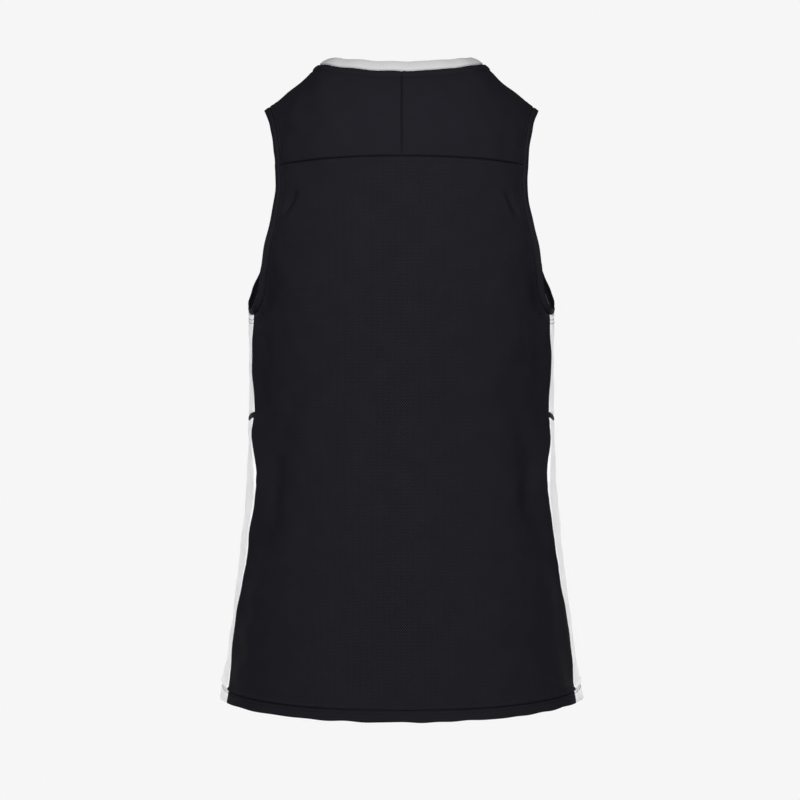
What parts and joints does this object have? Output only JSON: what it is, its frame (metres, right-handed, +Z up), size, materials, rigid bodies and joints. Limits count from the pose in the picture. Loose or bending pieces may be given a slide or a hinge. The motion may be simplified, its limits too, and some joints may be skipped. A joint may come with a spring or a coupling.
{
  "type": "sleeveless jersey",
  "caption": "Sleeveless mesh sports jersey, filled out as worn, with a smooth back yoke, rib neck band, bound armholes, side panels and a turned-up hem.",
  "frame": {"origin": "midway between the two neck points, where the shoulder seams meet the neck band: the wearer's shoulders carry the jersey there", "axes": "+X to the wearer's left, +Y to the wearer's back, +Z up"},
  "size_m": [0.4184, 0.2794, 0.7411],
  "materials": {
    "black_mesh_knit": "black polyester mesh knit with fine diagonal rows of small eyelets, matt with a faint sheen",
    "black_smooth_knit": "black smooth polyester knit, matt with a faint sheen",
    "white_mesh_knit": "white polyester mesh knit with fine eyelets, matt",
    "white_rib_knit": "light grey-white rib knit, folded double, matt"
  },
  "bodies": {
    "root": {"back_yoke_left": "black_smooth_knit", "back_yoke_right": "black_smooth_knit", "back_panel": "black_mesh_knit", "front_panel": "black_mesh_knit", "side_upper_left": "white_mesh_knit", "side_upper_right": "white_mesh_knit", "side_strip_left": "black_smooth_knit", "side_strip_right": "black_smooth_knit", "side_lower_left": "white_mesh_knit", "side_lower_right": "white_mesh_knit", "neck_band": "white_rib_knit", "armhole_band_left": "black_smooth_knit", "armhole_band_right": "black_smooth_knit"}
  },
  "joints": []
}
